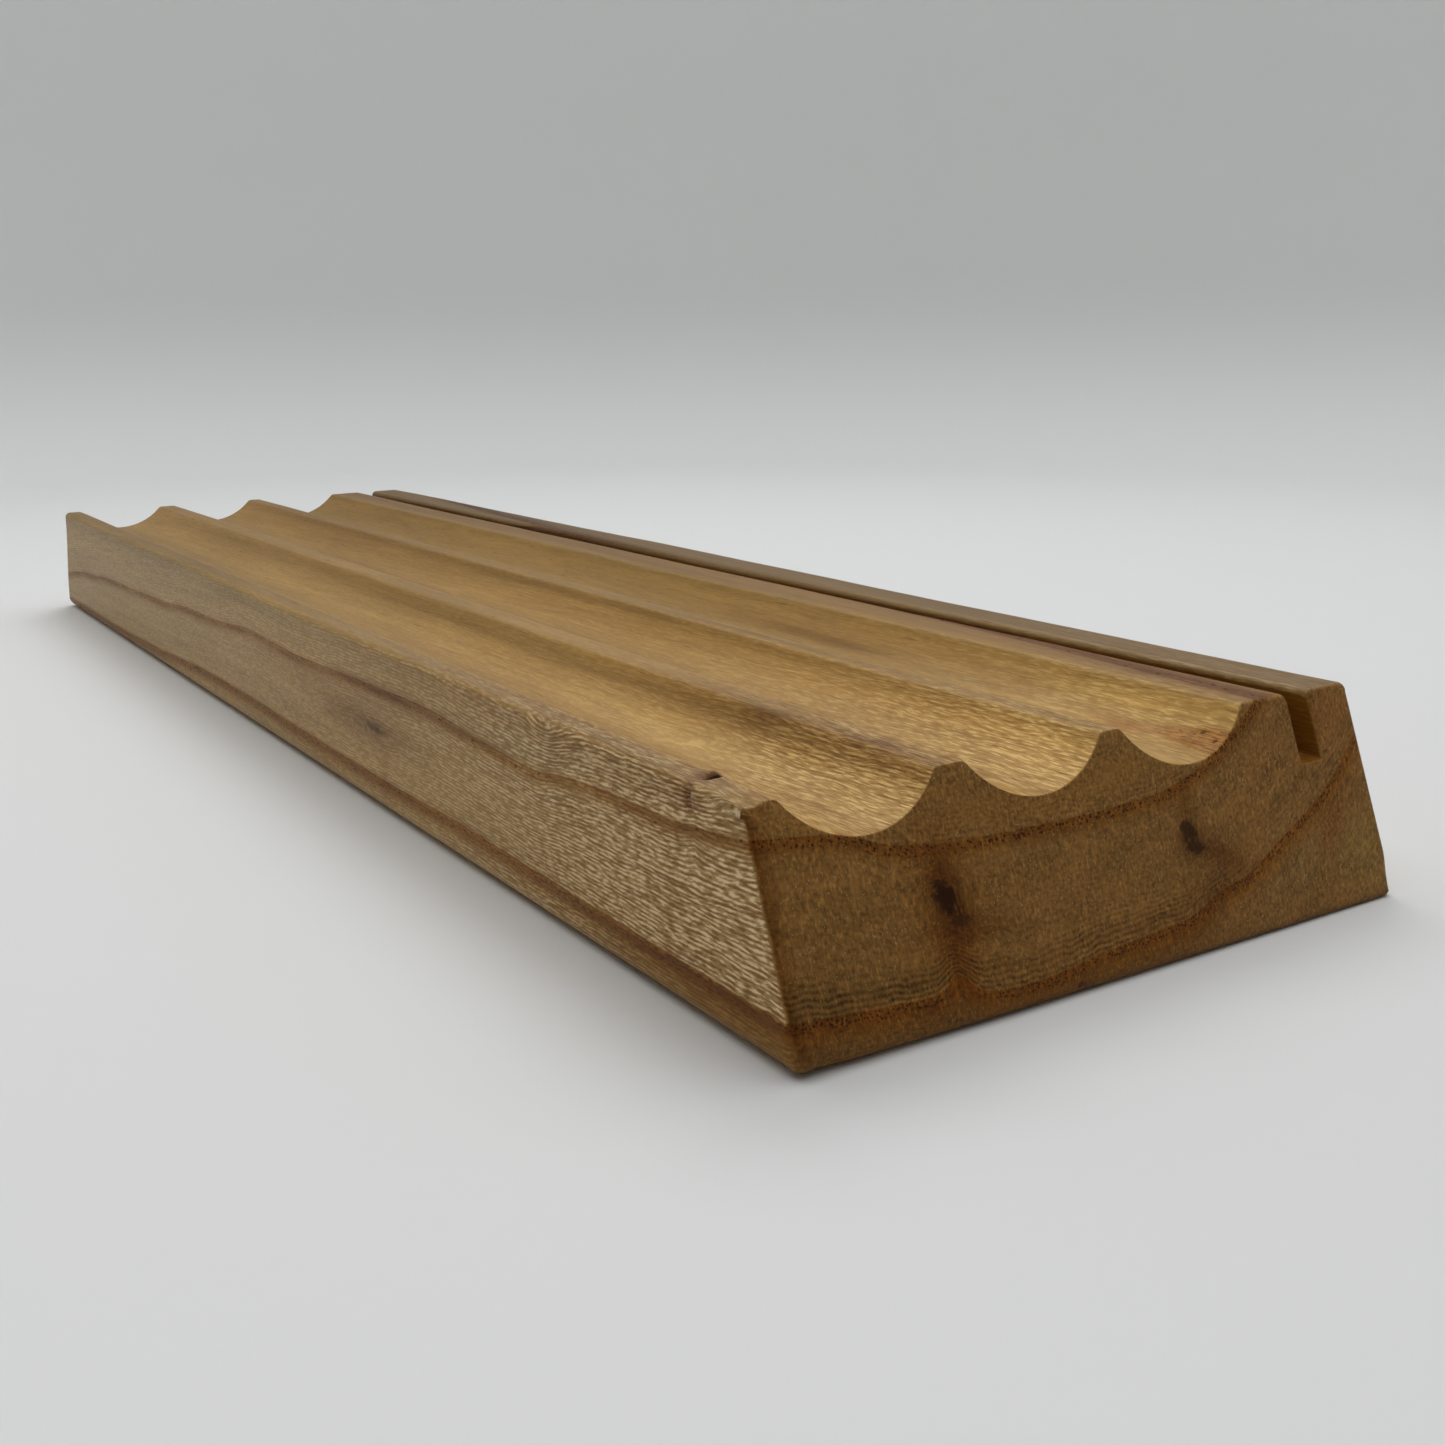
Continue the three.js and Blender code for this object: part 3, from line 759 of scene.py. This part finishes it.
    # tiny pale specks on the end grain
    speck = g.noise(g.vec(g.mul(px, 1 / 2.0), g.mul(py, 1 / 0.17), g.mul(pz, 1 / 0.22)), 0)
    speck = g.mul(g.ramp(speck, 0.62, 1.0), end)
    col = g.blend(g.mul(speck, 0.8), col, g.vmul(tone, (1.8, 2.2, 3.6)))

    # the warm earlywood band under each line, and its rows of pores
    def band(d, reach):
        return g.mul(g.ramp(d, 0.12, -0.06), g.ramp(d, -reach, -0.25))

    glow1, glow2 = band(d1, 2.0), band(d2, 2.6)
    jag = g.plus(1.0, g.mul(mott, 0.35), g.mul(mid, 0.2))
    col = g.blend(g.mul(glow1, 0.95, jag), col, g.vmul(col, (0.84, 0.68, 0.38)))
    col = g.blend(g.mul(glow2, 0.95, jag), col, g.vmul(col, (0.95, 0.74, 0.34)))
    dist, rnd = g.cells(g.vec(g.mul(px, 1 / 6.5), g.mul(py, 1 / 0.33), g.mul(ring, 1 / 0.31)), 0.8)
    vary, _, _ = g.parts(rnd)
    hole = g.ramp(g.plus(dist, g.mul(vary, 0.18)), 0.56, 0.36)
    rows1 = g.mul(g.ramp(d1, 0.05, -0.08), g.ramp(g.plus(d1, g.mul(sway, 0.25)), -1.05, -0.60))
    rows2 = g.mul(g.ramp(d2, 0.05, -0.08), g.ramp(g.plus(d2, g.mul(sway, 0.25)), -0.95, -0.50))
    rows = g.mul(g.math("MAXIMUM", rows1, g.mul(rows2, 0.85)), open_)
    col = g.blend(g.mul(rows, 0.35), col, g.vmul(col, (0.90, 0.70, 0.30)))
    pores = g.mul(hole, rows, g.ramp(end, 0.0, 1.0, 0.28, 1.0))
    dots, dots_rnd = g.cells(g.vec(g.mul(px, 1 / 1.6), g.mul(py, 1 / 1.6), g.mul(ring, 1 / 0.62)), 1.0)
    pick, _, _ = g.parts(dots_rnd)
    dots = g.mul(g.ramp(dots, 0.24, 0.12), g.ramp(pick, 0.42, 0.46), rows, g.math("SUBTRACT", 1.0, end))
    pores = g.math("MAXIMUM", pores, dots)
    # short dark vessel dashes where the sides cut the porous band
    cuts = g.noise(g.vec(g.mul(px, 1 / 0.8), g.mul(yy, 1 / 0.22), g.mul(rr, 1 / 0.17)), 1, 0.6, 0.3)
    cuts = g.mul(g.ramp(cuts, -0.05, 0.55), g.math("MAXIMUM", glow1, g.mul(glow2, 1.2)), g.math("SUBTRACT", 1.0, end))
    col = g.blend(g.math("MULTIPLY", cuts, 0.85, clamp=True), col, g.vmul(tone, (0.40, 0.28, 0.13)))
    # scattered small pores elsewhere
    dist2, rnd2 = g.cells(g.vec(g.mul(px, 1 / 9.0), g.mul(py, 1 / 0.55), g.mul(ring, 1 / 0.55)), 1.0)
    vary2, _, _ = g.parts(rnd2)
    small = g.mul(g.ramp(dist2, 0.20, 0.09), g.ramp(vary2, 0.55, 0.6), 0.35)
    pores = g.math("MAXIMUM", pores, small)
    col = g.blend(g.mul(pores, 0.88), col, g.vmul(tone, (0.22, 0.07, 0.0)))

    # knots: irregular dark hearts
    def heart(cx, cz, ax, az, lean, seed, ux, near):
        a = g.plus(ux, -cx)
        b = g.plus(pz, -cz)
        u = g.plus(a, g.mul(b, lean))
        wob = g.noise(g.vec(g.mul(ux, 1 / 1.1), seed, g.mul(pz, 1 / 1.1)), 2, 0.6)
        r = g.math("SQRT", g.plus(g.math("POWER", g.math("ABSOLUTE", g.mul(u, 1 / ax)), 2.0), g.math("POWER", g.math("ABSOLUTE", g.mul(b, 1 / az)), 2.0)))
        return g.mul(g.ramp(g.plus(r, g.mul(wob, 0.55), g.mul(mott, 0.22), g.mul(rays, 0.10)), 1.15, 0.45), near)

    on_end = g.mul(end, g.ramp(px, 200.0, 220.0))
    k1 = heart(16.7, 9.3, 1.25, 1.6, 0.25, 3.1, py, on_end)
    k2 = heart(17.6, 7.6, 1.3, 0.8, 0.0, 9.4, py, on_end)
    k3 = heart(44.3, 9.9, 0.95, 1.35, 0.15, 5.7, py, on_end)
    k4 = heart(44.9, 8.2, 1.1, 0.9, 0.4, 7.2, py, on_end)
    k5 = heart(28.6, 0.35, 0.55, 0.30, 0.0, 2.2, py, on_end)
    k6 = heart(175.2, 9.2, 2.4, 0.55, 0.0, 4.4, px, front)
    # the bark pocket in the front edge: a black lens in a brown halo
    ca, sa = math.cos(0.96), math.sin(0.96)
    hu = g.plus(g.mul(g.plus(px, -243.4), ca), g.mul(g.plus(py, -2.3), sa))
    hv = g.plus(g.mul(g.plus(px, -243.4), -sa), g.mul(g.plus(py, -2.3), ca))

    def lens(au, av, inner, outer):
        r = g.math("SQRT", g.plus(g.math("POWER", g.math("ABSOLUTE", g.mul(hu, 1 / au)), 2.0), g.math("POWER", g.math("ABSOLUTE", g.mul(hv, 1 / av)), 2.0)))
        return g.mul(g.ramp(g.plus(r, g.mul(mott, 0.08)), outer, inner), g.ramp(pz, 17.6, 18.2))

    bark, halo = lens(0.80, 0.36, 0.75, 1.1), lens(1.45, 0.62, 0.5, 1.2)
    col = g.blend(g.mul(halo, 0.85), col, g.vmul(tone, (0.62, 0.48, 0.50)))
    knots = g.math("MAXIMUM", g.math("MAXIMUM", k1, g.mul(k2, 0.6)), g.math("MAXIMUM", g.mul(k3, 0.85), g.math("MAXIMUM", g.mul(k4, 0.8), g.math("MAXIMUM", g.mul(k5, 0.7), g.mul(k6, 0.6)))))
    col = g.blend(g.mul(knots, 0.95), col, g.vmul(tone, (0.22, 0.16, 0.08)))
    col = g.blend(bark, col, (0.008, 0.004, 0.003, 1))

    mat.node_tree.links.new(col, bsdf.inputs["Base Color"])
    rough = g.plus(0.46, g.mul(fine, 0.05), g.mul(end, 0.12), g.mul(pale, -0.05), g.mul(pores, 0.2))
    mat.node_tree.links.new(rough, bsdf.inputs["Roughness"])
    bsdf.inputs["Specular IOR Level"].default_value = 0.15
    bsdf.inputs["Specular Tint"].default_value = (1.0, 0.86, 0.64, 1)
    height = g.plus(
        g.mul(fine, g.math("SUBTRACT", 1.0, end), 0.25),
        g.mul(mid, 0.10),
        g.mul(mott, end, 0.25),
        g.mul(pale, 0.55),
        g.mul(dark, -0.45),
        g.mul(pores, -1.6),
        g.mul(knots, -0.8),
    )
    bump = g.add("ShaderNodeBump")
    bump.inputs["Strength"].default_value = 0.8
    bump.inputs["Distance"].default_value = 0.00005
    mat.node_tree.links.new(height, bump.inputs["Height"])
    mat.node_tree.links.new(bump.outputs[0], bsdf.inputs["Normal"])
    return mat


put_figure()
put_bake_uv()
mesh.materials.append(wood_material())

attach(block, "root")
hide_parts("grooved_block")

# ---------------------------------------------------------------------------
# Stage, light and camera
# ---------------------------------------------------------------------------
def stage():
    """A pale table that sweeps up into a low round wall."""
    flat, fillet, high = 0.40, 0.07, 0.46
    line = [(0.0, 0.0), (0.2, 0.0), (flat, 0.0)]
    for k in range(1, 13):
        a = math.pi / 2 * k / 12
        line.append((flat + fillet * math.sin(a), fillet * (1 - math.cos(a))))
    line.append((flat + fillet, high))
    seg = 128
    vs = [(0.0, 0.0, 0.0)]
    fs = []
    for r, h in line[1:]:
        for k in range(seg):
            a = 2 * math.pi * k / seg
            vs.append((r * math.cos(a), r * math.sin(a), h))
    for k in range(seg):
        fs.append((0, 1 + k, 1 + (k + 1) % seg))
    for ring in range(len(line) - 2):
        b0, b1 = 1 + ring * seg, 1 + (ring + 1) * seg
        for k in range(seg):
            n = (k + 1) % seg
            fs.append((b0 + k, b1 + k, b1 + n, b0 + n))
    me = bpy.data.meshes.new("table_sweep")
    me.from_pydata(vs, [], fs)
    me.update()
    me.shade_smooth()
    ob = bpy.data.objects.new("table_sweep", me)
    bpy.context.scene.collection.objects.link(ob)
    mat = bpy.data.materials.new("pale_paper")
    mat.use_nodes = True
    b = mat.node_tree.nodes["Principled BSDF"]
    g = Nodes(mat.node_tree)
    at = g.add("ShaderNodeTexCoord")
    ox, oy, height = g.parts(at.outputs["Object"])
    # the paper greys from the floor up the wall: painted shade for the wall's dimmer light
    w = g.ramp(height, 0.002, 0.062)
    w2 = g.ramp(height, 0.05, 0.16)
    low = g.blend(w, (0.80, 0.81, 0.805, 1), (0.72, 0.73, 0.725, 1))
    wall = g.blend(w2, low, (0.70, 0.71, 0.705, 1))
    # the wall is dark in front of the block, so that the light comes from behind and above
    behind = g.ramp(g.plus(g.mul(ox, -0.84), g.mul(oy, 0.54)), -0.25, 0.12)
    dim = g.blend(w, (0.80, 0.81, 0.805, 1), (0.13, 0.13, 0.13, 1))
    mat.node_tree.links.new(g.blend(behind, dim, wall), b.inputs["Base Color"])
    b.inputs["Roughness"].default_value = 0.7
    b.inputs["Specular IOR Level"].default_value = 0.3
    me.materials.append(mat)
    return ob


stage()


def area(name, place, target, size, power, colour=(1, 1, 1)):
    d = bpy.data.lights.new(name, "AREA")
    d.shape, d.size, d.energy, d.color = "DISK", size, power, colour
    o = bpy.data.objects.new(name, d)
    o.location = place
    o.rotation_euler = (Vector(target) - Vector(place)).to_track_quat("-Z", "Y").to_euler()
    bpy.context.scene.collection.objects.link(o)
    return o


area("wide_overhead", (-0.08, 0.30, 0.78), (-0.08, 0.30, 0.0), 1.70, 9.4)
area("soft_behind", (-0.512, 0.333, 0.728), (0, 0, 0), 0.50, 1.8)

world = bpy.data.worlds.new("studio")
world.use_nodes = True
world.node_tree.nodes["Background"].inputs[0].default_value = (1, 1, 1, 1)
world.node_tree.nodes["Background"].inputs[1].default_value = 0.05
bpy.context.scene.world = world
bpy.context.scene.view_settings.view_transform = "Standard"

cam_data = bpy.data.cameras.new("camera")
cam_data.sensor_width = 36.0
cam_data.lens = 39.194
cam_data.clip_start, cam_data.clip_end = 0.005, 20
cam = bpy.data.objects.new("camera", cam_data)
az, el, roll = 0.9991, 0.2455, -0.0143
back = Vector((math.sin(az) * math.cos(el), -math.cos(az) * math.cos(el), math.sin(el)))
right = (-back).cross(Vector((0, 0, 1))).normalized()
upv = right.cross(-back)
r2 = math.cos(roll) * right + math.sin(roll) * upv
u2 = -math.sin(roll) * right + math.cos(roll) * upv
eye = Vector((342.5118 - 257.9314 + 129.0, -60.6351 - 35.0, 52.8232 - UNDER)) / 1000.0
cam.matrix_world = Matrix(
    (
        (r2.x, u2.x, back.x, eye.x),
        (r2.y, u2.y, back.y, eye.y),
        (r2.z, u2.z, back.z, eye.z),
        (0, 0, 0, 1),
    )
)
bpy.context.scene.collection.objects.link(cam)
bpy.context.scene.camera = cam

print("MESH", len(mesh.vertices), "verts", sum(len(p.vertices) - 2 for p in mesh.polygons), "tris", R, J)
